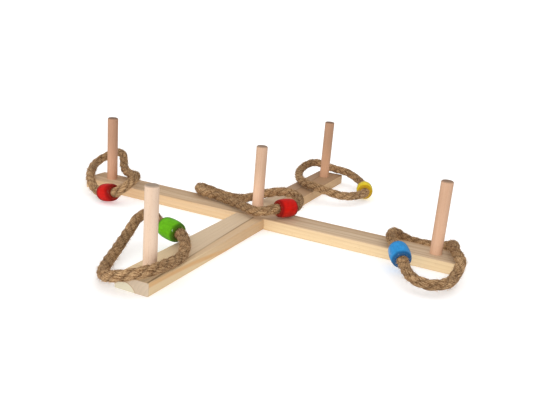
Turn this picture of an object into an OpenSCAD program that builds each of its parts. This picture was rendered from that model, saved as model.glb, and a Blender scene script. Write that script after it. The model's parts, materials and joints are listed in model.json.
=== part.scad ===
// Ring toss game: a wooden cross with five pegs and five rope rings.
// Two battens cross at right angles in a halved joint, so both lie flat on the floor.
// A dowel peg stands in the middle and near each of the four ends.
// Each throwing ring is a piece of thick rope whose two ends meet in the bore of a painted bead.
// Origin: the middle of the cross on the floor. +X runs along the upper batten,
// +Y along the lower batten, and +Z is up.

/* [Cross] */
// Length of each batten
beam_l = 590; // [560:2:720]
// Width of each batten
beam_w = 45; // [36:1:60]
// Thickness of each batten
beam_h = 16; // [14:0.2:24]
// Small bevel along the long edges of the battens
edge_bevel = 1; // [0.4:0.1:2]

/* [Pegs] */
// Diameter of the dowel pegs
peg_d = 16; // [10:0.2:20]
// How far each peg stands up above the battens
peg_up = 98; // [70:1:140]
// How deep each peg goes down into the wood, measured from the top of the battens
peg_in = 12; // [10:0.5:13]
// Distance from the end of a batten to the middle of its peg
peg_inset = 33; // [20:1:60]
// Bevel round both ends of a peg
peg_bevel = 1.2; // [0.4:0.1:2]

/* [Rings] */
// Diameter of the rope
rope_d = 14; // [11:0.5:15]
// Diameter of a bead at its fattest
bead_d = 27; // [24:1:34]
// Diameter of the flat face at each end of a bead
bead_face_d = 20; // [18:0.5:22]
// Length of a bead
bead_l = 29; // [24:1:36]
// Fullness of the barrel shape, where 2 is a plain ellipse and more is squarer
bead_full = 2.4; // [2:0.1:4]

/* [Fits] */
// Clearance between a batten and each side of the notch that it lies in
lap_clear = 0.2; // [0.05:0.05:0.5]
// Clearance all round a peg in its socket
peg_clear = 0.05; // [0.02:0.01:0.1]
// Clearance all round the rope in the bore of a bead
bore_clear = 0.15; // [0.1:0.05:0.4]
// Gap under a rope or bead where it lies on a batten or on the floor
rest_gap = 0.4; // [0.2:0.1:0.6]
// Half of the gap between the two rope ends inside a bead
end_gap = 0.5; // [0.2:0.1:2]
// How far the rope runs straight out of a bead before it bends
straight_out = 1; // [0.5:0.5:3]

/* [Hidden] */

// Distance from the middle line of a batten to its side
batten_side = beam_w / 2;
// Half the thickness stays in each batten at the halved joint
lap_z = beam_h / 2;
// Distance from the middle of the cross to an outer peg
peg_at = beam_l / 2 - peg_inset;
// Height of the underside of the pegs
peg_z = beam_h - peg_in;
peg_l = peg_in + peg_up;
// Radius of a peg's socket, and of a bead's bore
socket_r = peg_d / 2 + peg_clear;
bore_r = rope_d / 2 + bore_clear;
// Height of the middle of a rope that lies on a batten, and on the floor
on = beam_h + rope_d / 2 + rest_gap;
low = rope_d / 2 + rest_gap;
// Height of the middle of a bead that lies on a batten, and on the floor
bead_on = beam_h + bead_d / 2 + rest_gap;
bead_low = bead_d / 2 + rest_gap;
rope_sides = 12;
round_fn = 64;

PINE = [0.90, 0.79, 0.60];
PINE_TOP = [0.84, 0.70, 0.50];
BEECH = [0.87, 0.71, 0.56];
JUTE = [0.50, 0.37, 0.23];
RED = [0.80, 0.07, 0.07];
GREEN = [0.20, 0.60, 0.13];
BLUE = [0.12, 0.44, 0.78];
YELLOW = [0.95, 0.83, 0.10];

// A ring is [foot of its peg, middle of its bead, bead's turn, bead's tilt, route points].
// The bead and the points are measured from the foot of the peg. The route starts at the
// mouth that the bead's turn and tilt point to and ends at the other mouth.

// Lies across both battens, with its bead beside the peg and one bend behind the upper batten
RING_CENTRE = [[0, 0, 0], [43, 3, bead_on + 0.4], -118, 3, [
    [16, -28, on + 4], [-13, -16, on + 2], [-42, -1, on], [-73, 7, on + 1],
    [-107, 16, on + 1], [-118, 37, on - 1], [-97, 58, low + 4], [-67, 60, low + 2],
    [-38, 52, on - 5], [-10, 54, on + 7], [19, 55, on + 14], [46, 43, on + 12]]];

// Propped on the batten, with its bead down on the floor in front and its far side in the air
RING_LEFT = [[-peg_at, 0, 0], [43, -63, bead_low + 1.6], -12, 14, [
    [70, -61, on + 4], [70, -37, on + 12], [51, -8, on + 9], [24, 14, on + 2],
    [-3, 34, on + 5], [-20, 53, on + 17], [-41, 64, on + 17], [-61, 55, on + 7],
    [-61, 30, on - 1], [-43, 3, on], [-24, -24, on], [-1, -46, low + 7]]];

// Drapes over the end of the batten, with its bead hanging in front
RING_RIGHT = [[peg_at, 0, 0], [-35, -batten_side - bead_d / 2 - 14, bead_low + 8.1], -60, -11, [
    [-18, -83, low + 11], [-4, -102, low + 9], [16, -105, low + 7], [31, -89, low + 6],
    [36, -58, low + 4], [37, -29, on - 1], [24, 0, on + 1.5], [17, 27, on],
    [1, 48, low + 4], [-26, 50, low], [-51, 41, low + 5], [-62, 25, on],
    [-61, -4, on + 3]]];

// Drapes over the near end of the batten and down to the floor at its left
RING_FRONT = [[0, -peg_at, 0], [-32, 89, bead_on + 0.4], -15, -4, [
    [6, 62, on + 3], [18, 34, on], [20, 4, on + 2], [16, -25, on + 3],
    [0, -42, on], [-24, -43, low + 9], [-47, -22, low + 2], [-62, 6, low + 1],
    [-72, 36, low + 6], [-80, 60, low + 11], [-86, 82, on + 2], [-85, 98, on + 11],
    [-72, 102, on + 16], [-59, 97, on + 12]]];

// Lies over the far end of the batten, with its bead on the floor at the right
RING_BACK = [[0, peg_at, 0], [86, -28, bead_low], -69, 0, [
    [85, -75, low + 7], [67, -100, low + 10], [36, -106, on], [8, -97, on + 1],
    [-15, -74, on], [-31, -43, on], [-40, -9, on + 2], [-29, 20, on + 9],
    [-5, 33, on + 3], [12, 34, on + 0.5], [29, 31, on], [60, 19, low + 8]]];

function unit(v) = v / norm(v);
function heading(turn, tilt) = [cos(tilt) * cos(turn), cos(tilt) * sin(turn), sin(tilt)];

// Middle line of a ring's rope, from its end inside the bead, round, and back into the bead
function rope_line(ring) =
    let (d = heading(ring[2], ring[3]), mid = ring[0] + ring[1], out = bead_l / 2 + straight_out)
    concat([mid + end_gap * d, mid + out * d],
        [for (p = ring[4]) ring[0] + p],
        [mid - out * d, mid - end_gap * d]);

// Direction of the rope at each point: along the bead at both mouths, else between neighbours
function rope_dirs(line, d) =
    [for (i = [0 : len(line) - 1])
        i < 2 || i > len(line) - 3 ? d : unit(line[i + 1] - line[i - 1])];

// One ring of points round the middle line
function round_points(c, dir) =
    let (side = unit(cross(dir, [0, 0, 1])), up = cross(side, dir))
    [for (k = [0 : rope_sides - 1]) let (a = 360 * k / rope_sides)
        c + rope_d / 2 * (cos(a) * side + sin(a) * up)];

// Radius of the barrel-shaped bead at a distance from its middle
function barrel_r(z) =
    bead_face_d / 2 + (bead_d - bead_face_d) / 2
        * pow(max(0, 1 - pow(abs(z) / (bead_l / 2), bead_full)), 1 / bead_full);

// A batten along X with bevelled long edges
module batten() {
    w = batten_side;
    b = edge_bevel;
    translate([-beam_l / 2, 0, 0])
        rotate([90, 0, 90])
            linear_extrude(height = beam_l)
                polygon([[b - w, 0], [w - b, 0], [w, b], [w, beam_h - b],
                    [w - b, beam_h], [b - w, beam_h], [-w, beam_h - b], [-w, b]]);
}

// Hole for a peg, from the underside of the peg up through the top
module socket() {
    translate([0, 0, peg_z])
        cylinder(r = socket_r, h = peg_l, $fn = round_fn);
}

// The batten along Y, notched on top to take the other one
module lower_beam() {
    color(PINE)
    difference() {
        rotate([0, 0, 90]) batten();
        translate([-beam_w, -beam_w / 2 - lap_clear, lap_z])
            cube([2 * beam_w, beam_w + 2 * lap_clear, beam_h]);
        socket();
        for (side = [-1, 1]) translate([0, side * peg_at, 0]) socket();
    }
}

// The batten along X, notched underneath to lie over the other one
module upper_beam() {
    color(PINE_TOP)
    difference() {
        batten();
        translate([-beam_w / 2 - lap_clear, -beam_w, -beam_h + lap_z])
            cube([beam_w + 2 * lap_clear, 2 * beam_w, beam_h]);
        socket();
        for (side = [-1, 1]) translate([side * peg_at, 0, 0]) socket();
    }
}

// A dowel with bevelled ends, standing on the floor of its socket
module peg(at) {
    r = peg_d / 2;
    b = peg_bevel;
    color(BEECH)
    translate([at[0], at[1], peg_z])
        rotate_extrude($fn = round_fn)
            polygon([[0, 0], [r - b, 0], [r, b], [r, peg_l - b], [r - b, peg_l], [0, peg_l]]);
}

// The rope of one ring, swept along its middle line
module rope(ring) {
    line = rope_line(ring);
    dirs = rope_dirs(line, heading(ring[2], ring[3]));
    n = len(line);
    s = rope_sides;
    points = [for (i = [0 : n - 1]) each round_points(line[i], dirs[i])];
    skin = [for (i = [0 : n - 2], k = [0 : s - 1])
        let (a = i * s + k, b = i * s + (k + 1) % s)
            each [[a, b, b + s], [a, b + s, a + s]]];
    caps = [for (k = [1 : s - 2])
        each [[0, k + 1, k], [(n - 1) * s, (n - 1) * s + k, (n - 1) * s + k + 1]]];
    color(JUTE)
    polyhedron(points = points, faces = concat(skin, caps));
}

// The painted bead that joins the ends of one ring's rope
module bead(ring, paint) {
    h = bead_l / 2;
    steps = 10;
    color(paint)
    translate(ring[0] + ring[1])
        rotate([0, 90 - ring[3], ring[2]])
            difference() {
                rotate_extrude($fn = round_fn)
                    polygon(concat([[0, -h]],
                        [for (i = [-steps : steps]) let (z = h * sin(90 * i / steps)) [barrel_r(z), z]],
                        [[0, h]]));
                cylinder(r = bore_r, h = 2 * bead_l, center = true, $fn = round_fn);
            }
}

module peg_centre() { peg([0, 0]); }
module peg_left() { peg([-peg_at, 0]); }
module peg_right() { peg([peg_at, 0]); }
module peg_front() { peg([0, -peg_at]); }
module peg_back() { peg([0, peg_at]); }
module rope_centre() { rope(RING_CENTRE); }
module rope_left() { rope(RING_LEFT); }
module rope_right() { rope(RING_RIGHT); }
module rope_front() { rope(RING_FRONT); }
module rope_back() { rope(RING_BACK); }
module bead_centre() { bead(RING_CENTRE, RED); }
module bead_left() { bead(RING_LEFT, RED); }
module bead_right() { bead(RING_RIGHT, BLUE); }
module bead_front() { bead(RING_FRONT, GREEN); }
module bead_back() { bead(RING_BACK, YELLOW); }

lower_beam();
upper_beam();
peg_centre();
peg_left();
peg_right();
peg_front();
peg_back();
rope_centre();
rope_left();
rope_right();
rope_front();
rope_back();
bead_centre();
bead_left();
bead_right();
bead_front();
bead_back();
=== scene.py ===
"""Ring toss game: the looks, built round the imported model.

The file is laid out as a Blender add-on. Run as a script, it builds the whole scene.
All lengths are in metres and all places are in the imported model's frame: the middle of
the cross on the floor, +X along the upper batten, +Y along the lower one, +Z up.
"""

import json
import math

import bpy
import numpy as np
from bpy.props import FloatProperty, FloatVectorProperty, IntProperty, PointerProperty
from mathutils import Matrix, Vector

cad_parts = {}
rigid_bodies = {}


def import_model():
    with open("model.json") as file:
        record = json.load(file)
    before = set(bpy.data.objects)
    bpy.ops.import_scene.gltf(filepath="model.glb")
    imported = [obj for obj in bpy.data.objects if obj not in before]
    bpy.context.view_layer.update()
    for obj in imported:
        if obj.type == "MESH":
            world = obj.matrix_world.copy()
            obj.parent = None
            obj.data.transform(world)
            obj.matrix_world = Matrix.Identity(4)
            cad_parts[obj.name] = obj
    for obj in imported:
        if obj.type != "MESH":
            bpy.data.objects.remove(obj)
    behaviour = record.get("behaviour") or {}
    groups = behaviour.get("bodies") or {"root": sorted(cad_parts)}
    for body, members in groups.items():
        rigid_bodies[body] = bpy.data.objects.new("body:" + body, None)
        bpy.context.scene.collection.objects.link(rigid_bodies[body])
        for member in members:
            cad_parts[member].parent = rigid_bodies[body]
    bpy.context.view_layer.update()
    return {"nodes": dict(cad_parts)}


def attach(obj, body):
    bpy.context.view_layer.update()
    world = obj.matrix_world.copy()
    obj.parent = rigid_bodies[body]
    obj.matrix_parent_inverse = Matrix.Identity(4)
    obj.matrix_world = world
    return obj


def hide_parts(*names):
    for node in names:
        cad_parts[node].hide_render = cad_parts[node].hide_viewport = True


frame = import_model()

bl_info = {
    "name": "Ring toss game",
    "version": (1, 0, 0),
    "blender": (4, 5, 0),
    "location": "3D View > Sidebar > Ring toss",
    "description": "Builds a ring toss game: rope rings with beads, battens, pegs and the stage",
    "category": "Object",
}

# The camera that was fitted to the edges of the battens
CAMERA_PLACE = Vector((0.407876, -0.840727, 0.320055))
CAMERA_RIGHT = Vector((0.89697311, 0.43422106, 0.0830139))
CAMERA_DOWN = Vector((0.20204025, -0.23561881, -0.95061218))
CAMERA_AHEAD = Vector((-0.39321619, 0.86944571, -0.29907387))
CAMERA_LENS = 44.2686
CAMERA_SENSOR = 36.0
# The way that the wide light in front shines
KEY_AIM = Vector((0.05, 1.0, -0.42))
# The floor's radius, past the horizon of every view, and the number of its sides
FLOOR_REACH = 60.0
FLOOR_SIDES = 96
WHITE = (1.0, 1.0, 1.0, 1.0)
BLACK = (0.0, 0.0, 0.0, 1.0)

# A batten's thickness, half width and half length
BEAM_H = 0.016
BEAM_SIDE = 0.0225
BEAM_HALF = 0.295
# How far from the middle the outer pegs stand, and how high all pegs stand above the battens
PEG_AT = 0.262
PEG_H = 0.098
ROPE_D = 0.014
BEAD_D = 0.027
BEAD_L = 0.029
REST_GAP = 0.0004
# Heights of the middle of a rope that lies on a batten and on the floor, and of a bead
ON = BEAM_H + ROPE_D / 2 + REST_GAP
LOW = ROPE_D / 2 + REST_GAP
BEAD_ON = BEAM_H + BEAD_D / 2 + REST_GAP
BEAD_LOW = BEAD_D / 2 + REST_GAP
# From the bead's middle: where the rope ends, how far it is held straight, where its bend begins
END_GAP = 0.0005
HELD = 0.006
OUT = BEAD_L / 2 + 0.001
# Distance between the points of a rope's middle line
LINE_STEP = 0.002

# For each ring: the foot of its peg, then, measured from there, the middle of its bead, the
# bead's turn and tilt in degrees, and the points that its rope follows, as in the CAD source
RINGS = {
    "centre": ((0, 0), (0.043, 0.003, BEAD_ON + 0.0004), -118, 3, [
        (0.016, -0.028, ON + 0.004), (-0.013, -0.016, ON + 0.002), (-0.042, -0.001, ON),
        (-0.073, 0.007, ON + 0.001), (-0.107, 0.016, ON + 0.001), (-0.118, 0.037, ON - 0.001),
        (-0.097, 0.058, LOW + 0.004), (-0.067, 0.06, LOW + 0.002), (-0.038, 0.052, ON - 0.005),
        (-0.01, 0.054, ON + 0.007), (0.019, 0.055, ON + 0.014), (0.046, 0.043, ON + 0.012)]),
    "left": ((-PEG_AT, 0), (0.043, -0.063, BEAD_LOW + 0.0016), -12, 14, [
        (0.07, -0.061, ON + 0.004), (0.07, -0.037, ON + 0.012), (0.051, -0.008, ON + 0.009),
        (0.024, 0.014, ON + 0.002), (-0.003, 0.034, ON + 0.005), (-0.02, 0.053, ON + 0.017),
        (-0.041, 0.064, ON + 0.017), (-0.061, 0.055, ON + 0.007), (-0.061, 0.03, ON - 0.001),
        (-0.043, 0.003, ON), (-0.024, -0.024, ON), (-0.001, -0.046, LOW + 0.007)]),
    "right": ((PEG_AT, 0), (-0.035, -0.05, BEAD_LOW + 0.0081), -60, -11, [
        (-0.018, -0.083, LOW + 0.011), (-0.004, -0.102, LOW + 0.009), (0.016, -0.105, LOW + 0.007),
        (0.031, -0.089, LOW + 0.006), (0.036, -0.058, LOW + 0.004), (0.037, -0.029, ON - 0.001),
        (0.024, 0, ON + 0.0015), (0.017, 0.027, ON), (0.001, 0.048, LOW + 0.004),
        (-0.026, 0.05, LOW), (-0.051, 0.041, LOW + 0.005), (-0.062, 0.025, ON),
        (-0.061, -0.004, ON + 0.003)]),
    "front": ((0, -PEG_AT), (-0.032, 0.089, BEAD_ON + 0.0004), -15, -4, [
        (0.006, 0.062, ON + 0.003), (0.018, 0.034, ON), (0.02, 0.004, ON + 0.002),
        (0.016, -0.025, ON + 0.003), (0, -0.042, ON), (-0.024, -0.043, LOW + 0.009),
        (-0.047, -0.022, LOW + 0.002), (-0.062, 0.006, LOW + 0.001), (-0.072, 0.036, LOW + 0.006),
        (-0.08, 0.06, LOW + 0.011), (-0.086, 0.082, ON + 0.002), (-0.085, 0.098, ON + 0.011),
        (-0.072, 0.102, ON + 0.016), (-0.059, 0.097, ON + 0.012)]),
    "back": ((0, PEG_AT), (0.086, -0.028, BEAD_LOW), -69, 0, [
        (0.085, -0.075, LOW + 0.007), (0.067, -0.1, LOW + 0.01), (0.036, -0.106, ON),
        (0.008, -0.097, ON + 0.001), (-0.015, -0.074, ON), (-0.031, -0.043, ON),
        (-0.04, -0.009, ON + 0.002), (-0.029, 0.02, ON + 0.009), (-0.005, 0.033, ON + 0.003),
        (0.012, 0.034, ON + 0.0005), (0.029, 0.031, ON), (0.06, 0.019, LOW + 0.008)]),
}
# For each bead: its paint, and how far from the bead's middle the paint keeps its full colour
# before the painted shade towards its ends begins
PAINT_OF = {"centre": ("red", 0.0088), "left": ("red", 0.003), "right": ("blue", 0.0088),
            "front": ("green", 0.0088), "back": ("yellow", 0.0088)}
# What the paint's red, green and blue are multiplied by where it is dark, in its grain lines and in
# the painted shade towards its ends: light and deep paints
LIGHT_PAINT_GRAIN_AND_SHADE = (0.52, 0.36, 0.30)
DEEP_PAINT_GRAIN_AND_SHADE = (0.34, 0.26, 0.30)
# For each batten: whether it lies along Y, where the tree's middle was from its own (across, up,
# and how much further across for each metre along), and the seed of its grain
BATTENS = {"lower": (True, (-0.0276, -0.009, 0.047), 1.0),
           "upper": (False, (0.010, -0.030, 0.012), 6.0)}
# For each peg: what its beech is multiplied by, painted light and shade with some of the dowel's
# own tone, and how much paler it is at its foot, as painted light
PEGS = {"centre": ((0.91, 0.86, 0.84), 1.00), "left": ((0.70, 0.56, 0.50), 0.80),
        "right": ((0.88, 0.78, 0.73), 0.50), "front": ((1.08, 1.16, 1.25), 0.35),
        "back": ((0.66, 0.54, 0.47), 0.80)}


# ---------------- settings

def colour(name, description, default):
    return FloatVectorProperty(name=name, description=description, default=default,
                               subtype="COLOR", size=3, min=0.0, max=1.0)


def length(name, description, default):
    return FloatProperty(name=name, description=description, default=default, min=0.0, max=10.0,
                         subtype="DISTANCE", unit="LENGTH", precision=5)


def amount(name, description, default, low=0.0, high=1e6, subtype="NONE"):
    return FloatProperty(name=name, description=description, default=default, min=low, max=high,
                         subtype=subtype)


def integer(name, description, default, low=0, high=1000):
    return IntProperty(name=name, description=description, default=default, min=low, max=high)


class RopeSettings(bpy.types.PropertyGroup):
    """Sizes and colours of the laid jute rope"""
    diameter: length("Rope diameter", "Across the three strands", ROPE_D)
    lay: length("Lay length", "Length of rope in which a strand goes once round", 0.045)
    strands: integer("Strands", "Strands laid into the rope", 3, 2, 4)
    yarns: integer("Yarns", "Yarns that show round one strand", 14, 5, 16)
    twist: length("Yarn twist length", "Length of strand in which a yarn goes once round", 0.036)
    step: length("Step", "Distance between the rings of the strands' mesh", 0.0016)
    hair_density: amount("Hair density", "Loose fibres on each square metre", 2.3e5)
    hair_length: length("Hair length", "Length of a usual loose fibre", 0.0060)
    hair_radius: length("Hair radius", "Half the thickness of a loose fibre", 0.000095)
    seed: integer("Seed", "Where the loose fibres are", 7)
    # The dark jute is also the colour of the painted shade deep between the strands
    dark: colour("Dark jute", "Colour deep between the strands", (0.055, 0.025, 0.009))
    brown: colour("Brown jute", "Colour of most of the yarn", (0.268, 0.137, 0.056))
    tan: colour("Tan jute", "Colour of the lightest fibres", (0.650, 0.425, 0.222))


class BeadSettings(bpy.types.PropertyGroup):
    """Sizes and paints of the barrel beads"""
    diameter: length("Bead diameter", "Across the fattest place", BEAD_D)
    face: length("Face diameter", "Across the flat face at each end", 0.020)
    long: length("Bead length", "From face to face", BEAD_L)
    bore: length("Bore diameter", "Across the hole that the rope fills", 0.0143)
    lip: length("Lip rounding", "Radius of the sanded mouth of the bore", 0.0004)
    fullness: amount("Fullness", "2 is a plain ellipse, more is squarer", 2.4, 2.0, 4.0)
    red: colour("Red paint", "Paint of the middle and left beads", (0.520, 0.006, 0.002))
    green: colour("Green paint", "Paint of the front bead", (0.115, 0.410, 0.006))
    blue: colour("Blue paint", "Paint of the right bead", (0.026, 0.260, 0.590))
    yellow: colour("Yellow paint", "Paint of the back bead", (0.760, 0.590, 0.009))
    wood: colour("Bare wood", "Wood where the paint is worn off", (0.560, 0.390, 0.220))


class WoodSettings(bpy.types.PropertyGroup):
    """Colours and grain of the pine battens and beech pegs"""
    early: colour("Pale pine", "Wide pale part of each growth ring", (0.760, 0.575, 0.338))
    warm: colour("Warm pine", "Orange-tan stretches", (0.660, 0.430, 0.230))
    grey: colour("Grey pine", "Grey-tan stretches of the weathered tops", (0.655, 0.520, 0.375))
    late: colour("Dark pine", "Narrow dark part of each growth ring", (0.360, 0.200, 0.090))
    band: colour("Resin band", "Orange-brown band along one side", (0.680, 0.380, 0.150))
    end: colour("Pine end grain", "Sawn ends of the battens", (0.560, 0.445, 0.325))
    ring_width: length("Ring width", "Usual distance between two growth rings", 0.0046)
    beech: colour("Beech", "Usual colour of the pegs", (0.640, 0.440, 0.300))
    fleck: colour("Beech fleck", "Short dark flecks along the grain", (0.330, 0.175, 0.095))


class StageSettings(bpy.types.PropertyGroup):
    """Floor and light"""
    floor: colour("Floor", "Colour of the plain floor", (0.96, 0.96, 0.96))
    glow: amount("Floor glow", "Light that comes up through the floor", 0.20)
    sky: amount("Soft light", "Strength of the even light all round", 0.92)
    shine: amount("Shine", "Strength of the even light in reflections", 0.22)
    paper: amount("Paper", "Brightness of the plain wall behind", 1.05)
    key: amount("Key light", "Strength of the wide light in front", 1.25)
    spread: amount("Key spread", "How wide the light in front is", math.radians(8),
                   subtype="ANGLE")


class RingTossSettings(bpy.types.PropertyGroup):
    """All settings of the ring toss game"""
    rope: PointerProperty(type=RopeSettings)
    bead: PointerProperty(type=BeadSettings)
    wood: PointerProperty(type=WoodSettings)
    stage: PointerProperty(type=StageSettings)


# ---------------- node wiring

def sums(operation, turned=False):
    """An operator of Value, which adds one Math node."""
    def made(self, other):
        return self.wires.math(operation, *((other, self) if turned else (self, other)))
    return made


class Value:
    """What comes out of a node. Plain arithmetic with it adds the Math nodes that do it."""
    __add__, __radd__ = sums("ADD"), sums("ADD", True)
    __sub__, __rsub__ = sums("SUBTRACT"), sums("SUBTRACT", True)
    __mul__, __rmul__ = sums("MULTIPLY"), sums("MULTIPLY", True)
    __truediv__, __pow__ = sums("DIVIDE"), sums("POWER")
    __gt__, __lt__ = sums("GREATER_THAN"), sums("LESS_THAN")

    def __init__(self, wires, socket):
        self.wires, self.socket = wires, socket

    def __abs__(self):
        return self.wires.math("ABSOLUTE", self)

    def under(self, share, colour):
        """This colour with a share of another over it."""
        return self.wires.mix(share, self, colour)

    def ramp(self, low, high, to_low=0.0, to_high=1.0, smooth=True):
        """The value moved from the range low to high to the range to_low to to_high."""
        return self.wires.out("MapRange", {
            "Value": self, "From Min": low, "From Max": high, "To Min": to_low, "To Max": to_high},
            interpolation_type="SMOOTHSTEP" if smooth else "LINEAR")


class Wiring:
    """Adds nodes to one tree and joins them. A node's kind is its type without its family."""
    families = "ShaderNode", "GeometryNode", "FunctionNode", ""

    def __init__(self, tree):
        self.tree = tree

    def put(self, socket, value):
        """Links a Value to the socket, or sets the socket to a plain number, colour or name."""
        if isinstance(value, Value):
            self.tree.links.new(value.socket, socket)
        else:
            socket.default_value = value

    def add(self, kind, sockets=(), **settings):
        """A new node of that kind. sockets maps the names of its inputs to what goes in."""
        made = self.tree.nodes.new(next(
            family + kind for family in self.families if hasattr(bpy.types, family + kind)))
        for key, value in settings.items():
            setattr(made, key, value)
        return self.feed(made, sockets)

    def feed(self, node, sockets):
        """Puts into the node's inputs what sockets has for their names."""
        for name, value in dict(sockets).items():
            self.put(next(s for s in node.inputs if s.name == name and s.enabled), value)
        return node

    def named(self, node):
        """All that comes out of the node, by name."""
        return {s.name: Value(self, s) for s in node.outputs if s.enabled}

    def outs(self, kind, sockets=(), **settings):
        """All that comes out of a new node, by name."""
        return self.named(self.add(kind, sockets, **settings))

    def out(self, kind, sockets=(), output=None, **settings):
        """The first thing that comes out of a new node, or the one of that name."""
        values = self.outs(kind, sockets, **settings)
        return values[output] if output else next(iter(values.values()))

    def fed(self, node, values):
        """What comes out of the node when the values go into its sockets in order."""
        for socket, value in zip(node.inputs, values):
            self.put(socket, value)
        return next(iter(self.named(node).values()))

    def math(self, operation, *values, clamp=False):
        return self.fed(self.add("Math", operation=operation, use_clamp=clamp), values)

    def vector(self, operation, *values):
        return self.fed(self.add("VectorMath", operation=operation), values)

    def scaled(self, vector, scale):
        return self.out("VectorMath", {"Vector": vector, "Scale": scale}, operation="SCALE")

    def combine(self, x=0.0, y=0.0, z=0.0):
        return self.out("CombineXYZ", {"X": x, "Y": y, "Z": z})

    def split(self, vector):
        return self.outs("SeparateXYZ", {"Vector": vector}).values()

    def mix(self, share, first, second, blend="MIX"):
        """A colour between two colours."""
        return self.out("Mix", {"Factor": share, "A": first, "B": second},
                        data_type="RGBA", blend_type=blend)

    def noise(self, vector, scale=1.0, detail=2.0, rough=0.55):
        return self.out("TexNoise", {
            "Vector": vector, "Scale": scale, "Detail": detail, "Roughness": rough}, output="Fac")

    def attribute(self, name, output="Fac"):
        return self.out("Attribute", output=output, attribute_name=name)

    def object_place(self):
        return self.out("TexCoord", output="Object")

    def finish(self, name, sockets):
        """All that comes out of a shared finish, by name."""
        return self.outs("Group", sockets, node_tree=shared_finish(name))

    def streaks(self, place, long, wide, seed=0.0):
        return self.finish("Streaks", {
            "Vector": place, "Line length": long, "Line width": wide, "Seed": seed})

    def kept(self, geometry, values, domain="POINT"):
        """The geometry with those values kept on it, as name: (kind, value), and each value."""
        made = self.add("CaptureAttribute", {"Geometry": geometry}, domain=domain)
        for name, (kind, value) in values.items():
            made.capture_items.new(kind, name)
            self.put(made.inputs[name], value)
        return self.named(made)

    def stored(self, geometry, name, value, kind="FLOAT", domain="POINT"):
        """The geometry with the value stored on it for the material."""
        return self.out("StoreNamedAttribute", {
            "Geometry": geometry, "Name": name, "Value": value}, data_type=kind, domain=domain)

    def placed(self, geometry, position):
        return self.out("SetPosition", {"Geometry": geometry, "Position": position})


def rgba(colour, *shares):
    """The colour for a socket, multiplied by one share or by one each for red, green and blue."""
    shares = shares * 3 if len(shares) == 1 else shares or (1.0, 1.0, 1.0)
    return (*(min(1.0, c * share) for c, share in zip(colour, shares)), 1.0)


def new_group(name, kind, inputs, outputs):
    """(its wiring, what comes in, the node for what goes out) of a new node group.

    inputs and outputs map each socket's name to its kind, or to its default number."""
    tree = bpy.data.node_groups.new(name, kind)
    for direction, sockets in (("INPUT", inputs), ("OUTPUT", outputs)):
        for label, value in sockets.items():
            plain = isinstance(value, str)
            made = tree.interface.new_socket(
                label, in_out=direction,
                socket_type="NodeSocket" + (value if plain else type(value).__name__.title()))
            if not plain:
                made.default_value = value
    wires = Wiring(tree)
    return wires, wires.outs("NodeGroupInput"), wires.add("NodeGroupOutput")


def new_material(name):
    """(the material, its wiring, its Principled shader)."""
    material = bpy.data.materials.new(name)
    material.use_nodes = True
    shader = next(n for n in material.node_tree.nodes if n.type == "BSDF_PRINCIPLED")
    return material, Wiring(material.node_tree), shader


def surface(wires, shader, base, rough, shine, height, strength, depth):
    """Gives the shader its colour, roughness, plain specular level, and bumps of that height."""
    bumps = wires.out("Bump", {"Height": height, "Strength": strength, "Distance": depth})
    wires.feed(shader, {
        "Base Color": base, "Roughness": rough, "Specular IOR Level": shine, "Normal": bumps})


def add_object(name, data):
    made = bpy.data.objects.new(name, data)
    bpy.context.scene.collection.objects.link(made)
    return made


def once_round(sides):
    """(cosine, sine) of each step of a full turn."""
    turns = (2 * math.pi * k / sides for k in range(sides))
    return [(math.cos(turn), math.sin(turn)) for turn in turns]


# ---------------- shared finishes

def new_finish(name, sizes, *outputs):
    """A new shader group with a place, those sizes and a seed coming in."""
    return new_group(name, "ShaderNodeTree", {"Vector": "Vector", **sizes, "Seed": 0.0},
                     dict.fromkeys(outputs, "Float"))


def stretched(wires, given, long, wide):
    """The given place in marks: one unit is a mark's length along X and its width across."""
    x, y, z = wires.split(given["Vector"])
    return wires.combine(x / given[long] + given["Seed"], y / given[wide], z / given[wide])


def streaks_group():
    """Fine lines that run along X, as wood fibres, yarn fibres and brush marks do."""
    wires, given, gives = new_finish(
        "Streaks", {"Line length": 0.02, "Line width": 0.0004}, "Lines", "Patches")
    place = stretched(wires, given, "Line length", "Line width")
    wide = wires.vector("MULTIPLY", place, (0.5, 0.12, 0.12))
    wires.feed(gives, {"Lines": wires.noise(place, 1.0, 3.0, 0.6).ramp(0.3, 0.7),
                       "Patches": wires.noise(wide).ramp(0.3, 0.7)})
    return wires.tree


def growth_rings_group():
    """Growth rings of a board sawn along X, as they show on all its faces."""
    wires, given, gives = new_finish("Growth rings", {
        "Pith across": -0.014, "Pith up": -0.009, "Pith drift": -0.046, "Ring width": 0.0046,
        "Warp": 0.0012}, "Late wood", "Tone")
    x, y, z = wires.split(given["Vector"])
    seed = given["Seed"]
    lumps = wires.noise(wires.combine(x * 5.0 + seed, y * 26.0, z * 26.0))
    warp = (lumps - 0.5) * (given["Warp"] * 4.0)
    across = y - (given["Pith across"] + x * given["Pith drift"])
    radius = wires.vector("LENGTH", wires.combine(0.0, across, z - given["Pith up"])) + warp
    # Some rings are wider than others
    uneven = (wires.noise(wires.combine(radius * 140.0, seed, 0.0), 1.0, 1.0) - 0.5) * 1.6
    count = radius / given["Ring width"] + uneven
    # Each ring darkens slowly outwards, ends sharply, and has its own strength
    part = wires.math("FRACT", count)
    dark = part ** 3.2 * part.ramp(0.90, 1.0, 1.0, 0.0)
    chance = wires.out("TexWhiteNoise", {"W": wires.math("FLOOR", count) + seed},
                       noise_dimensions="1D", output="Value")
    strength = chance.ramp(0.0, 1.0, 0.30, 1.0, smooth=False)
    wires.feed(gives, {"Late wood": wires.math("MULTIPLY", dark, strength, clamp=True),
                       "Tone": wires.noise(wires.combine(x * 1.5, radius * 60.0, seed))})
    return wires.tree


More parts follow.
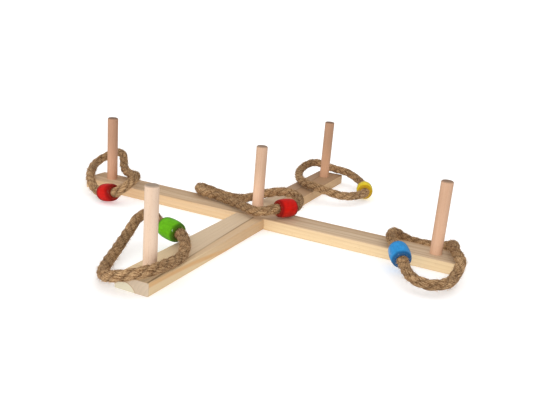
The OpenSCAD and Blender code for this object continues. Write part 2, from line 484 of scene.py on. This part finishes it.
def specks_group():
    """Short dashes along X, as pores and resin canals are."""
    wires, given, gives = new_finish(
        "Specks", {"Speck length": 0.003, "Speck width": 0.0006, "Share": 0.2}, "Specks")
    cells = wires.outs("TexVoronoi", {
        "Vector": stretched(wires, given, "Speck length", "Speck width"), "Scale": 1.0,
        "Randomness": 1.0})
    chance = wires.out("TexWhiteNoise", {"Vector": cells["Position"]},
                       noise_dimensions="3D", output="Value")
    wires.feed(gives, {
        "Specks": (chance < given["Share"]) * cells["Distance"].ramp(0.12, 0.36, 1.0, 0.0)})
    return wires.tree


FINISHES = {"Streaks": streaks_group, "Growth rings": growth_rings_group, "Specks": specks_group}


def shared_finish(name):
    """The node group of that name, made when it is first asked for."""
    return bpy.data.node_groups.get(name) or FINISHES[name]()


# ---------------- stage

class RINGTOSS_OT_stage(bpy.types.Operator):
    """Make the floor, the soft light and the camera"""
    bl_idname = "ringtoss.stage"
    bl_label = "Make stage"

    def execute(self, context):
        scene = context.scene
        self.make_camera(scene)
        self.make_floor(scene.ringtoss.stage)
        self.make_light(scene, scene.ringtoss.stage)
        scene.view_settings.view_transform = "Standard"
        scene.view_settings.look = "None"
        return {"FINISHED"}

    def make_camera(self, scene):
        data = bpy.data.cameras.new("camera")
        data.sensor_fit, data.sensor_width, data.lens = "HORIZONTAL", CAMERA_SENSOR, CAMERA_LENS
        data.clip_start, data.clip_end = 0.02, 200
        scene.camera = add_object("camera", data)
        turn = Matrix((CAMERA_RIGHT, -CAMERA_DOWN, -CAMERA_AHEAD)).transposed()
        scene.camera.matrix_world = Matrix.Translation(CAMERA_PLACE) @ turn.to_4x4()

    def make_floor(self, chosen):
        """A flat round floor, dimmer where glossy paint reflects it, so that paint stays deep."""
        mesh = bpy.data.meshes.new("floor")
        edge = [(FLOOR_REACH * c, FLOOR_REACH * s, 0) for c, s in once_round(FLOOR_SIDES)]
        mesh.from_pydata(edge, [], [list(range(FLOOR_SIDES))])
        material, wires, shader = new_material("floor")
        cloudy = wires.noise(wires.object_place(), 3, 2).ramp(0.3, 0.7)
        paper = wires.mix(cloudy, rgba(chosen.floor), rgba(chosen.floor, 0.985))
        glossy = wires.out("LightPath", output="Is Glossy Ray")
        wires.feed(shader, {
            "Base Color": wires.mix(glossy, paper, rgba(chosen.floor, 0.25)), "Roughness": 0.9,
            "Specular IOR Level": 0.2, "Emission Strength": chosen.glow,
            "Emission Color": wires.mix(glossy, WHITE, BLACK)})
        mesh.materials.append(material)
        add_object("floor", mesh)

    def make_light(self, scene, chosen):
        """Even light all round, with its own strengths in reflections and behind, and a key."""
        world = bpy.data.worlds.new("soft light")
        world.use_nodes = True
        sky = next(n for n in world.node_tree.nodes if n.type == "BACKGROUND")
        wires = Wiring(world.node_tree)
        ray = wires.outs("LightPath")
        soft = ray["Is Glossy Ray"].ramp(0, 1, chosen.sky, chosen.shine)
        wires.feed(sky, {
            "Color": WHITE, "Strength": ray["Is Camera Ray"].ramp(0, 1, soft, chosen.paper)})
        scene.world = world
        data = bpy.data.lights.new("key light", "SUN")
        data.energy, data.angle, data.use_shadow = chosen.key, chosen.spread, False
        add_object("key light", data).rotation_euler = KEY_AIM.to_track_quat("-Z", "Y").to_euler()


# ---------------- ropes

def bead_place(ring):
    """(the middle of a ring's bead, the way that its bore points)."""
    foot, bead, turn, tilt, _ = RINGS[ring]
    turn, tilt = math.radians(turn), math.radians(tilt)
    ahead = math.cos(tilt) * math.cos(turn), math.cos(tilt) * math.sin(turn), math.sin(tilt)
    return np.array((*foot, 0)) + np.array(bead), np.array(ahead)


def smooth_loop(points, share=0.9):
    """(knot gaps, curvatures) of a closed smooth curve through the points.

    Knots are spaced by the distance between points to the power of share."""
    steps = np.roll(points, -1, 0) - points
    gaps = np.linalg.norm(steps, axis=1) ** share
    before, own = np.roll(gaps, 1), np.eye(len(points))
    rows = (before[:, None] * np.roll(own, -1, 1) + gaps[:, None] * np.roll(own, 1, 1)
            + 2 * (before + gaps)[:, None] * own)
    slopes = steps / gaps[:, None]
    return gaps, np.linalg.solve(rows, 6 * (slopes - np.roll(slopes, 1, 0)))


def along_loop(points, last, steps=16):
    """Places on the smooth closed curve through the points, from the first to points[last]."""
    gaps, curves = smooth_loop(points)
    line = []
    for i in range(last):
        gap = gaps[i]
        for t in np.linspace(0, 1, steps, endpoint=False):
            gone, left = t * gap, (1 - t) * gap
            line.append(curves[i] * left ** 3 / (6 * gap) + curves[i + 1] * gone ** 3 / (6 * gap)
                        + (points[i] / gap - curves[i] * gap / 6) * left
                        + (points[i + 1] / gap - curves[i + 1] * gap / 6) * gone)
    return np.array(line + [points[last]])


def rope_line(ring):
    """The middle line of a ring's rope, from its end inside the bead round to its other end."""
    foot, *_, route = RINGS[ring]
    middle, ahead = bead_place(ring)
    loop = [middle + OUT * ahead, *(np.array((*foot, 0)) + np.array(p) for p in route),
            middle - OUT * ahead, middle - HELD * ahead, middle + HELD * ahead]
    free = along_loop(np.array(loop), len(route) + 1)
    line = np.vstack([[middle + END_GAP * ahead], free, [middle - END_GAP * ahead]])
    gone = np.concatenate([[0], np.cumsum(np.linalg.norm(np.diff(line, axis=0), axis=1))])
    at = np.linspace(0, gone[-1], 1 + int(round(gone[-1] / LINE_STEP)))
    return np.stack([np.interp(at, gone, line[:, k]) for k in range(3)], axis=1)


# Shares of the rope's radius: how far out the strands' middles lie (least, most), a strand's own
# radius, how softly strands press flat, how much the rope fluffs up beside the bead, how far out
# loose fibres may stand and how softly they are held there, and where they begin to grow
STRAND_OUT = (0.29, 0.33)
STRAND_SIZE = 0.7
PRESS = 0.2
FLUFF = 0.13
HAIR_OUT = 1.5
HAIR_HOLD = 0.15
HAIR_FROM = 0.86
# Depth of the grooves between yarns and uneven thickness, as shares of a strand's radius
GROOVE = 0.07
UNEVEN = (0.94, 1.06)
# The lowest that any fibre lies
FLOOR_CLEAR = 0.0002


def yarn_outline(wires, given, radius):
    """(outline, crown, place round it) of a strand, with one lobe for each yarn."""
    circle = wires.out("CurvePrimitiveCircle", {
        "Resolution": given["Yarns"] * 4, "Radius": radius * STRAND_SIZE})
    round_it = wires.out("SplineParameter", output="Factor")
    lobe = abs(wires.math("SINE", round_it * given["Yarns"] * math.pi))
    kept = wires.kept(circle, {"Crown": ("FLOAT", lobe), "Round": ("FLOAT", round_it)})
    outline = wires.placed(kept["Geometry"], wires.scaled(
        wires.out("InputPosition"), 1 - (1 - lobe) * GROOVE))
    return outline, kept["Crown"], kept["Round"]


def loose_fibres(wires, given, strands, outside, run):
    """Thin bent fibres on the strands, where outside is true, that lean along the rope."""
    spots = wires.outs("DistributePointsOnFaces", {
        "Mesh": strands, "Selection": outside, "Density": given["Hair density"],
        "Seed": given["Seed"]})

    def chance(low, high, offset, kind="FLOAT"):
        return wires.out("RandomValue", {
            "Min": low, "Max": high, "Seed": given["Seed"] + offset}, data_type=kind)

    flip = wires.math("SIGN", chance(-1, 1, 1))
    heading = wires.vector("ADD", wires.scaled(run, flip), chance(
        (-0.75, -0.75, -0.75), (0.75, 0.75, 0.75), 2, "FLOAT_VECTOR"))
    facing = wires.out("AxesToRotation", {
        "Primary Axis": spots["Normal"], "Secondary Axis": heading},
        primary_axis="X", secondary_axis="Z")
    size, lift = chance(0.35, 1.5, 3), chance(0.15, 1.6, 4)
    # One fibre, which tapers, bows and sways
    stem = wires.out("ResampleCurve", {"Curve": wires.out(
        "CurvePrimitiveLine", {"Start": (0, 0, 0), "End": (0, 0, 1)}), "Count": 4}, mode="COUNT")
    part = wires.out("SplineParameter", output="Factor")
    bow = part ** 2 * 0.28 - 0.03
    sway = wires.math("SINE", part * 4.2) * 0.07
    hair = wires.out("CurveToMesh", {
        "Curve": wires.placed(stem, wires.scaled(
            wires.combine(bow, sway, part), given["Hair length"])),
        "Profile Curve": wires.out("CurvePrimitiveCircle", {
            "Resolution": 3, "Radius": given["Hair radius"]}),
        "Scale": 1 - part * 0.75, "Fill Caps": True})
    hairs = wires.out("InstanceOnPoints", {
        "Points": spots["Points"], "Instance": hair, "Rotation": facing,
        "Scale": wires.combine(size * lift, size, size)})
    hairs = wires.stored(hairs, "hair_tone", chance(0.35, 1, 5), domain="INSTANCE")
    return wires.out("RealizeInstances", {"Geometry": hairs})


def rope_tree():
    """Geometry nodes that lay a rope of twisted strands along a line and set loose fibres on it."""
    sizes = {row.name: row.default for row in RopeSettings.bl_rna.properties
             if row.type in ("FLOAT", "INT") and not row.is_array}
    wires, given, gives = new_group(
        "Laid rope", "GeometryNodeTree", {
            "Line": "Geometry", **sizes, "Bare end": OUT, "Material": "Material"},
        {"Rope": "Geometry"})
    full_turn, bare, seed = 2 * math.pi, given["Bare end"], given["Seed"]
    position = wires.out("InputPosition")
    tangent = wires.out("InputTangent")
    radius = given["Rope diameter"] * 0.5
    line = wires.out("ResampleCurve", {
        "Curve": wires.out("MeshToCurve", {"Mesh": given["Line"]}),
        "Length": given["Step"]}, mode="LENGTH")
    whole = wires.out("CurveLength", {"Curve": line})
    # Each place on the middle line knows where it is, which way it runs and how far along
    kept = wires.kept(line, {
        "Middle": ("VECTOR", position), "Run": ("VECTOR", tangent),
        "Along": ("FLOAT", wires.out("SplineParameter", output="Length"))})
    middle, along = kept["Middle"], kept["Along"]
    copies = wires.outs("DuplicateElements", {
        "Geometry": kept["Geometry"], "Amount": given["Strands"]}, domain="SPLINE")
    which = wires.kept(copies["Geometry"], {"Strand": ("INT", copies["Duplicate Index"])}, "CURVE")
    strand = which["Strand"]
    # Each strand winds round the middle line
    angle = (strand / given["Strands"] - along / given["Lay length"]) * full_turn
    normal = wires.out("InputNormal")
    side = wires.vector("CROSS_PRODUCT", tangent, normal)
    away = wires.vector("ADD", wires.scaled(normal, wires.math("COSINE", angle)),
                        wires.scaled(side, wires.math("SINE", angle)))
    wobble = wires.noise(wires.combine(along * 90, strand * 9.3, seed), 1, 1)
    # The rope fluffs up a little just outside the bead
    from_end = wires.math("MINIMUM", along, whole - along) - bare
    fluff = from_end.ramp(-0.0015, 0.0005) * from_end.ramp(0.002, 0.016, 1, 0)
    full = radius * (1 + fluff * FLUFF)
    reach = full * wobble.ramp(0.2, 0.8, *STRAND_OUT, smooth=False)
    laid = wires.out("SetPosition", {
        "Geometry": which["Geometry"], "Offset": wires.scaled(away, reach)})
    # Within each strand the yarns wind too
    laid = wires.out("SetCurveTilt", {
        "Curve": laid, "Tilt": (along / given["Yarn twist length"] + strand * 0.37) * full_turn})
    outline, crown, round_it = yarn_outline(wires, given, radius)
    lumps = wires.noise(wires.combine(along * 60, strand * 5.1, seed))
    strands = wires.out("CurveToMesh", {
        "Curve": laid, "Profile Curve": outline, "Fill Caps": True,
        "Scale": lumps.ramp(0.2, 0.8, *UNEVEN, smooth=False) * (full / radius)})
    # Strands press each other flat at the outside, so that the rope comes out round
    off = wires.vector("SUBTRACT", position, middle)
    far = wires.vector("LENGTH", off)
    pressed = wires.math("SMOOTH_MIN", far, full, radius * PRESS)
    strands = wires.placed(strands, wires.vector("ADD", middle, wires.scaled(off, pressed / far)))
    depth = wires.vector("DISTANCE", position, middle) / full
    # The loose fibres grow from the outside of the rope, but not inside the bead
    outside = (along > bare) * (along < whole - bare) * (depth > HAIR_FROM)
    hairs = loose_fibres(wires, given, strands, outside, kept["Run"])
    # No loose fibre stands too far out
    core = wires.outs("Proximity", {
        "Geometry": wires.out("CurveToMesh", {"Curve": line})}, target_element="EDGES")
    inward = wires.math("SMOOTH_MIN", core["Distance"], radius * HAIR_OUT,
                        radius * HAIR_HOLD) / core["Distance"]
    hairs = wires.placed(hairs, wires.vector("ADD", core["Position"], wires.scaled(
        wires.vector("SUBTRACT", position, core["Position"]), inward)))
    # The place along, round and between the yarns, for the material
    strands = wires.stored(strands, "yarn_place", wires.combine(
        along, round_it * 0.026, strand * 0.05), "FLOAT_VECTOR")
    strands = wires.stored(strands, "yarn_crown", crown)
    strands = wires.stored(strands, "rope_depth", depth)
    both = wires.add("JoinGeometry")
    for part in (strands, hairs):
        wires.put(both.inputs[0], part)
    smooth = wires.out("SetShadeSmooth", {"Geometry": wires.named(both)["Geometry"]})
    # Nothing pokes into the floor
    x, y, z = wires.split(position)
    above = wires.placed(smooth, wires.combine(x, y, wires.math("MAXIMUM", z, FLOOR_CLEAR)))
    real = wires.out("RealizeInstances", {"Geometry": above})
    wires.feed(gives, {"Rope": wires.out("SetMaterial", {
        "Geometry": real, "Material": given["Material"]})})
    return wires.tree


def jute_material(chosen):
    """Jute yarn: light and dark fibres along it, painted shade in the grooves, darker stretches,
    pale hairs.
    """
    material, wires, shader = new_material("jute")
    place, crown = wires.attribute("yarn_place", "Vector"), wires.attribute("yarn_crown")
    depth, hair = wires.attribute("rope_depth"), wires.attribute("hair_tone")
    dark, brown, tan = rgba(chosen.dark), rgba(chosen.brown), rgba(chosen.tan)
    loose = wires.noise(wires.object_place(), 620, 3, 0.7).ramp(0.38, 0.62)
    light = wires.streaks(place, 0.009, 0.0009)["Lines"] * 0.66 + loose * 0.36
    body = wires.mix(light.ramp(0.35, 0.85), brown, tan)
    body = body.under(light.ramp(0.08, 0.42, 0.85, 0), dark)
    # Painted shade: the jute darkens deep between the strands and in the grooves between the yarns
    shade = depth.ramp(0.76, 0.96, 0.24, 1) * crown.ramp(0, 0.8, 0.6, 1)
    stretch = wires.noise(wires.object_place(), 22, 1).ramp(0.38, 0.62, 0.68, 1)
    body = wires.mix(shade * stretch, dark, body)
    surface(wires, shader, wires.mix(hair > 0.01, body, wires.mix(hair, brown, tan)),
            light.ramp(0, 1, 0.95, 0.78, smooth=False), 0.25, light, 0.55, 0.0004)
    return material


class RINGTOSS_OT_ropes(bpy.types.Operator):
    """Lay the rope of each throwing ring"""
    bl_idname = "ringtoss.ropes"
    bl_label = "Lay ropes"

    def execute(self, context):
        chosen, tree = context.scene.ringtoss.rope, rope_tree()
        # The tree's inputs and the settings have the same names
        sizes = {row.name: getattr(chosen, row.identifier) for row in chosen.bl_rna.properties
                 if row.name in tree.interface.items_tree}
        sizes.update({"Bare end": OUT, "Material": jute_material(chosen)})
        for number, ring in enumerate(RINGS):
            sizes["Seed"] = chosen.seed + 10 * number
            rope = follow_line("jute_rope_" + ring, rope_line(ring), tree, sizes)
            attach(rope, "ring_" + ring)
            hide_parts("rope_" + ring)
        return {"FINISHED"}


def follow_line(name, line, tree, sizes):
    """A plain mesh object that the geometry nodes make along the line."""
    guide = bpy.data.meshes.new(name + "_line")
    guide.from_pydata([tuple(p) for p in line], [(i, i + 1) for i in range(len(line) - 1)], [])
    made = add_object(name, guide)
    laying = made.modifiers.new("Laid rope", "NODES")
    laying.node_group = tree
    socket = {s.name: s.identifier for s in tree.interface.items_tree
              if s.item_type == "SOCKET" and s.in_out == "INPUT"}
    for label, value in sizes.items():
        laying[socket[label]] = value
    bpy.context.view_layer.update()
    graph = bpy.context.evaluated_depsgraph_get()
    mesh = bpy.data.meshes.new_from_object(made.evaluated_get(graph), depsgraph=graph)
    made.modifiers.remove(laying)
    made.data = mesh
    mesh.name = name
    bpy.data.meshes.remove(guide)
    if len(mesh.polygons) < 1000:
        raise RuntimeError(f"{name} came out with {len(mesh.polygons)} faces")
    return made


# ---------------- beads

def bead_profile(chosen, steps=18):
    """(distance from the axis, place along it) round the wall of a bead, from the bore outwards."""
    half, bore, face = chosen.long / 2, chosen.bore / 2, chosen.face / 2
    fat, power, lip = chosen.diameter / 2, 2 / chosen.fullness, chosen.lip

    def end(sign):
        """The flat face at one end, and the sanded mouth of the bore."""
        flat = [(r, sign * half) for r in (face, (face + bore) / 2)]
        return flat + [(bore + lip * (1 - math.sin(a)), sign * (half - lip * (1 - math.cos(a))))
                       for a in map(math.radians, (0, 30, 60, 90))]

    barrel = [(face + (fat - face) * math.cos(a) ** power,
               math.copysign(half * abs(math.sin(a)) ** power, a))
              for a in (math.pi / 2 * k / steps for k in range(1 - steps, steps))]
    return end(-1)[::-1] + barrel + end(1)


def bead_mesh(name, ring, chosen, sides=72):
    """A turned bead in its place on its ring. Its places on the lathe are kept for the paint."""
    middle, ahead = map(Vector, bead_place(ring))
    side = ahead.cross(Vector((0, 0, 1))).normalized()
    up = side.cross(ahead)
    profile, around = bead_profile(chosen), once_round(sides)
    points = [middle + ahead * z + (side * c + up * s) * r for r, z in profile for c, s in around]
    rows = len(profile)

    def at(i, k):
        return i % rows * sides + k % sides

    faces = [(at(i, k), at(i, k + 1), at(i + 1, k + 1), at(i + 1, k))
             for i in range(rows) for k in range(sides)]
    mesh = bpy.data.meshes.new(name)
    mesh.from_pydata(points, [], faces)
    lathe = mesh.attributes.new("lathe_place", "FLOAT_VECTOR", "POINT")
    lathe.data.foreach_set("vector", [x for r, z in profile for c, s in around
                                      for x in (z, r * c, r * s)])
    mesh.polygons.foreach_set("use_smooth", [True] * len(faces))
    mesh.update()
    return mesh


def paint_material(name, paint, chosen, shade_from):
    """Satin paint brushed over turned wood, with painted shade beyond that distance from the bead's
    middle.
    """
    material, wires, shader = new_material(name)
    half, bore = chosen.long / 2, chosen.bore / 2
    place = wires.attribute("lathe_place", "Vector")
    x, y, z = wires.split(place)
    along = abs(x)
    grain = wires.streaks(place, 0.012, 0.0007, 3)["Lines"]
    lumps = wires.noise(place, 190)
    # The dark paint serves both the grain lines and the painted shade towards the ends
    dark = rgba(paint, *(LIGHT_PAINT_GRAIN_AND_SHADE if paint[1] > 0.45 else DEEP_PAINT_GRAIN_AND_SHADE))
    body = wires.mix(lumps.ramp(0.32, 0.68), rgba(paint), rgba(paint, 1.18))
    body = body.under(grain * 0.3, dark)
    # Painted shade: the paint darkens towards both ends, beyond the given distance from the bead's
    # middle
    body = body.under(along.ramp(shade_from, half - 0.0007) * 0.88, dark)
    # Worn in spots round the faces, and thin inside the bore
    spots = wires.noise(place, 900).ramp(0.52, 0.6)
    worn = along.ramp(half - 0.0003, half) * spots * 0.12
    from_axis = wires.vector("LENGTH", wires.combine(0, y, z))
    inside = from_axis.ramp(bore + 0.00005, bore + 0.00035, 1, 0)
    body = body.under(wires.math("MAXIMUM", worn, inside * 0.8), rgba(chosen.wood))
    wires.feed(shader, {"Coat Weight": 0.6 - worn * 0.6, "Coat Roughness": 0.07})
    surface(wires, shader, body, lumps.ramp(0.3, 0.7, 0.26, 0.36, smooth=False), 0.03,
            lumps * 0.7 + grain * 0.12, 0.3, 0.0003)
    return material


class RINGTOSS_OT_beads(bpy.types.Operator):
    """Turn and paint the bead of each throwing ring"""
    bl_idname = "ringtoss.beads"
    bl_label = "Turn beads"

    def execute(self, context):
        chosen = context.scene.ringtoss.bead
        for ring in RINGS:
            name = "painted_bead_" + ring
            bead = add_object(name, bead_mesh(name, ring, chosen))
            paint, shade_from = PAINT_OF[ring]
            bead.data.materials.append(paint_material(
                f"{paint} paint {ring}", getattr(chosen, paint), chosen, shade_from))
            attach(bead, "ring_" + ring)
            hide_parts("bead_" + ring)
            declare_rope(ring)
        return {"FINISHED"}


def declare_rope(ring):
    bpy.data.objects["jute_rope_" + ring]


# ---------------- wood

def lower_tones(wires, place, top, patches, seed):
    """(how warm the top is, how pale, how warm the sides are, dark marks) of the lower batten.

    A single dark ring runs aslant along its top, with warm wood on one side of it. The near end of
    the top is paler, partly the wood's own tone and partly painted light where the front ring's
    rope shades it."""
    x, y, _ = place
    wobble = (wires.noise(wires.combine(x * 9, 0, seed)) - 0.5) * 0.004
    off = (y + wobble) - (x * 0.049 - 0.0056)
    dark_ring = abs(off).ramp(0.0006, 0.0016, 1, 0)
    # Second: the paler near end of the top, partly the wood's own tone, partly painted light
    # against the rope's shade
    return (off.ramp(-0.0006, 0.0006, 0.75, 0.22), x.ramp(-0.15, -0.26, 0, 0.9),
            x.ramp(-0.2, -0.08, 0.25, 0.95),
            dark_ring * top * patches.ramp(0, 1, 0.45, 0.85))


def upper_tones(wires, place, top, tone, broad):
    """The same of the upper batten, where the far edge of the top is a strip of darker wood."""
    x, y, _ = place
    strip = y.ramp(0.012, 0.021)
    return (tone.ramp(0.3, 0.7, 0.1, 0.6), 0,
            tone.ramp(0.3, 0.7, 0, 0.25) + x.ramp(0.1, -0.12, 0, 0.55),
            strip * top * broad.ramp(0.2, 0.8, 0.35, 0.75))


def resin_band(wires, place, body, broad, chosen):
    """Adds the orange band that curves along the foot of the lower batten's near face."""
    x, y, z = place
    face = y < 0.0008 - BEAM_SIDE
    run = (x + BEAM_HALF) / 0.15
    above = z - (0.0135 - 0.01 * (run * run))
    below = face * above.ramp(-0.003, -0.0015, 1, 0)
    body = body.under(below * 0.7, rgba(chosen.early))
    band = face * abs(above).ramp(0.0008, 0.0044, 1, 0) * broad.ramp(0.1, 0.7, 0.4, 0.78)
    return wires.mix(band, body, rgba(chosen.band))


def sawn_end(wires, board, late, chosen, heart):
    """End grain, with a pale heart inside one dark ring where asked."""
    rough = wires.noise(board, 1300).ramp(0.4, 0.7)
    end = wires.mix(late * 0.45, rgba(chosen.end), rgba(chosen.end, 0.62))
    end = end.under(rough * 0.25, rgba(chosen.end, 0.7))
    if heart:
        _, y, z = wires.split(board)
        arc = wires.vector("DISTANCE", wires.combine(0, y, z), (0, 0.01, -0.0062))
        end = end.under(arc.ramp(0.0158, 0.0166, 0.8, 0), (0.7, 0.66, 0.5, 1))
        edge = abs(arc - 0.0164).ramp(0.0002, 0.0007, 0.7, 0)
        end = end.under(edge, rgba(chosen.late))
    return end


def pine_material(name, chosen, along_y, pith, seed):
    """Sawn and planed pine, weathered on top, with painted shade at the far end of the lower
    batten's top. Its grain runs along X, or along Y where asked.

    pith is (across, up, drift along the board) of the tree's middle from the board's."""
    material, wires, shader = new_material(name)
    board = wires.out("Mapping", {
        "Vector": wires.object_place(),
        "Rotation": (0, 0, math.radians(-90 if along_y else 0))})
    place = x, _, z = tuple(wires.split(board))
    ring = wires.finish("Growth rings", {
        "Vector": board, "Pith across": pith[0], "Pith up": pith[1], "Pith drift": pith[2],
        "Ring width": chosen.ring_width, "Seed": seed})
    fine = wires.streaks(board, 0.045, 0.00045, seed)
    broad = wires.streaks(board, 0.12, 0.003, seed + 20)["Lines"]
    canals = wires.finish("Specks", {
        "Vector": board, "Speck length": 0.005, "Speck width": 0.001, "Share": 0.16, "Seed": seed})
    late, lines = ring["Late wood"], fine["Lines"]
    top = z > BEAM_H - 0.0006
    pale, warm, grey = rgba(chosen.early), rgba(chosen.warm), rgba(chosen.grey)
    if along_y:
        warm_top, pale_lit_top, warm_side, mark = lower_tones(wires, place, top, fine["Patches"], seed)
        # The darkening towards the far end is partly painted shade from the rings lying there
        top_darkening, late_share, mark_tint = x.ramp(0.02, 0.16), 0.22, 0.62
    else:
        warm_top, pale_lit_top, warm_side, mark = upper_tones(wires, place, top, ring["Tone"], broad)
        top_darkening, late_share, mark_tint = 0.05, 0.7, 1.1
    # The paler near end of the lower batten's top is partly painted light
    body = wires.mix(top, wires.mix(warm_side, pale, warm),
                     wires.mix(pale_lit_top, wires.mix(warm_top, grey, warm), pale))
    body = body.under(broad * 0.25, wires.mix(ring["Tone"].ramp(0.3, 0.7), pale, grey))
    if not along_y:
        body = body.under(broad.ramp(0.75, 0.1) * top * 0.26, rgba(chosen.late))
    # The top is darker, most at the far end of the lower batten: partly the wood's own tone, partly
    # painted shade where the rings lie over it
    top_shade_and_tone = top.ramp(0, 1, 0.12, 1) * top_darkening
    body = body.under(top_shade_and_tone, wires.mix(1, body, (0.57, 0.48, 0.44, 1), blend="MULTIPLY"))
    # Fibres, growth rings, the marks and resin canals
    body = body.under(lines * 0.2, rgba(chosen.warm, 0.72))
    body = body.under(late * top.ramp(0, 1, 0.28, late_share), rgba(chosen.late))
    body = body.under(mark * 0.85, rgba(chosen.late, mark_tint))
    body = body.under(canals["Specks"] * 0.3, rgba(chosen.late))
    if along_y:
        body = resin_band(wires, place, body, broad, chosen)
    body = wires.mix(abs(x) > BEAM_HALF - 0.0003, body,
                     sawn_end(wires, board, late, chosen, heart=along_y))
    surface(wires, shader, body, late * -0.1 + (0.58 + lines * 0.12), 0.3,
            lines * 0.5 + late * 0.5, 0.3, 0.0003)
    return material


def beech_material(name, chosen, light_and_tone, foot, middle, seed):
    """A beech dowel on end there, its colour multiplied by the per-peg factors, painted light and
    shade with some of its own tone, and paler by foot low down, as painted light.
    """
    material, wires, shader = new_material(name)
    x, y, z = wires.split(wires.vector("SUBTRACT", wires.object_place(), (*middle, 0)))
    upright = wires.combine(z, x, y)
    fine = wires.streaks(upright, 0.03, 0.00035, seed)
    flecks = wires.finish("Specks", {
        "Vector": upright, "Speck length": 0.003, "Speck width": 0.00055, "Share": 0.42,
        "Seed": seed})["Specks"]
    late = wires.finish("Growth rings", {
        "Vector": upright, "Pith across": 0.019 + 0.004 * seed, "Pith up": -0.013,
        "Pith drift": 0.02, "Ring width": 0.0027, "Warp": 0.0006, "Seed": seed})["Late wood"]
    # The per-peg factors make lighter and darker copies of the beech: painted light and shade, with
    # some of each dowel's own tone
    beech = [c * t for c, t in zip(chosen.beech, light_and_tone)]
    body = wires.mix(fine["Patches"], rgba(beech), rgba(beech, 1.05, 1.08, 1.12))
    body = body.under(fine["Lines"] * 0.28, rgba(beech, 0.8, 0.74, 0.68))
    body = body.under(late * 0.3, rgba(beech, 0.74, 0.62, 0.52))
    # Painted light: the peg is paler low down, by foot, where the battens and ropes shade it
    body = wires.mix(z.ramp(BEAM_H + 0.006, BEAM_H + 0.075, foot, 0), body,
                     wires.mix(1, body, (1.5, 1.5, 1.5, 1), blend="MULTIPLY"))
    body = body.under(flecks * 0.42, rgba(chosen.fleck))
    # The top end shows darker end grain, and its edge is darker still
    top = BEAM_H + PEG_H
    body = wires.mix(z > top - 0.0003, body,
                     wires.mix(late * 0.6, rgba(beech, 0.64), rgba(beech, 0.42)))
    body = body.under(z.ramp(top - 0.0018, top - 0.0008) * 0.6, rgba(beech, 0.45))
    surface(wires, shader, body, fine["Lines"].ramp(0, 1, 0.5, 0.64), 0.35,
            fine["Lines"] * 0.5 - flecks, 0.25, 0.0002)
    return material


def dress(node, material):
    """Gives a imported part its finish."""
    made = frame["nodes"][node]
    if not made.material_slots:
        made.data.materials.append(material)
    for slot in made.material_slots:
        slot.material = material


class RINGTOSS_OT_battens(bpy.types.Operator):
    """Give the two battens their pine grain"""
    bl_idname = "ringtoss.battens"
    bl_label = "Finish battens"

    def execute(self, context):
        for batten, grain in BATTENS.items():
            dress(batten + "_beam", pine_material(
                "pine " + batten, context.scene.ringtoss.wood, *grain))
        return {"FINISHED"}


class RINGTOSS_OT_pegs(bpy.types.Operator):
    """Give the five pegs their beech grain"""
    bl_idname = "ringtoss.pegs"
    bl_label = "Finish pegs"

    def execute(self, context):
        for number, ring in enumerate(RINGS):
            dress("peg_" + ring, beech_material(
                "beech " + ring, context.scene.ringtoss.wood, *PEGS[ring], RINGS[ring][0],
                float(number)))
        return {"FINISHED"}


# ---------------- panel

class RINGTOSS_PT_panel(bpy.types.Panel):
    """Sizes, colours and buttons of the ring toss game"""
    bl_idname = "RINGTOSS_PT_panel"
    bl_label = "Ring toss"
    bl_space_type = "VIEW_3D"
    bl_region_type = "UI"
    bl_category = "Ring toss"

    def draw(self, context):
        chosen = context.scene.ringtoss
        for title, group, maker in (
                ("Stage", chosen.stage, RINGTOSS_OT_stage),
                ("Ropes", chosen.rope, RINGTOSS_OT_ropes),
                ("Beads", chosen.bead, RINGTOSS_OT_beads),
                ("Battens", chosen.wood, RINGTOSS_OT_battens),
                ("Pegs", None, RINGTOSS_OT_pegs)):
            box = self.layout.box()
            box.label(text=title)
            if group is not None:
                for name in group.bl_rna.properties.keys():
                    if name not in ("rna_type", "name"):
                        box.prop(group, name)
            box.operator(maker.bl_idname)


CLASSES = (RopeSettings, BeadSettings, WoodSettings, StageSettings, RingTossSettings,
           RINGTOSS_OT_stage, RINGTOSS_OT_ropes, RINGTOSS_OT_beads, RINGTOSS_OT_battens,
           RINGTOSS_OT_pegs, RINGTOSS_PT_panel)


def register():
    for made in CLASSES:
        bpy.utils.register_class(made)
    bpy.types.Scene.ringtoss = PointerProperty(type=RingTossSettings)


def unregister():
    del bpy.types.Scene.ringtoss
    for made in reversed(CLASSES):
        bpy.utils.unregister_class(made)


def main():
    register()
    bpy.ops.ringtoss.stage()
    bpy.ops.ringtoss.ropes()
    bpy.ops.ringtoss.beads()
    bpy.ops.ringtoss.battens()
    bpy.ops.ringtoss.pegs()


if __name__ == "__main__":
    main()
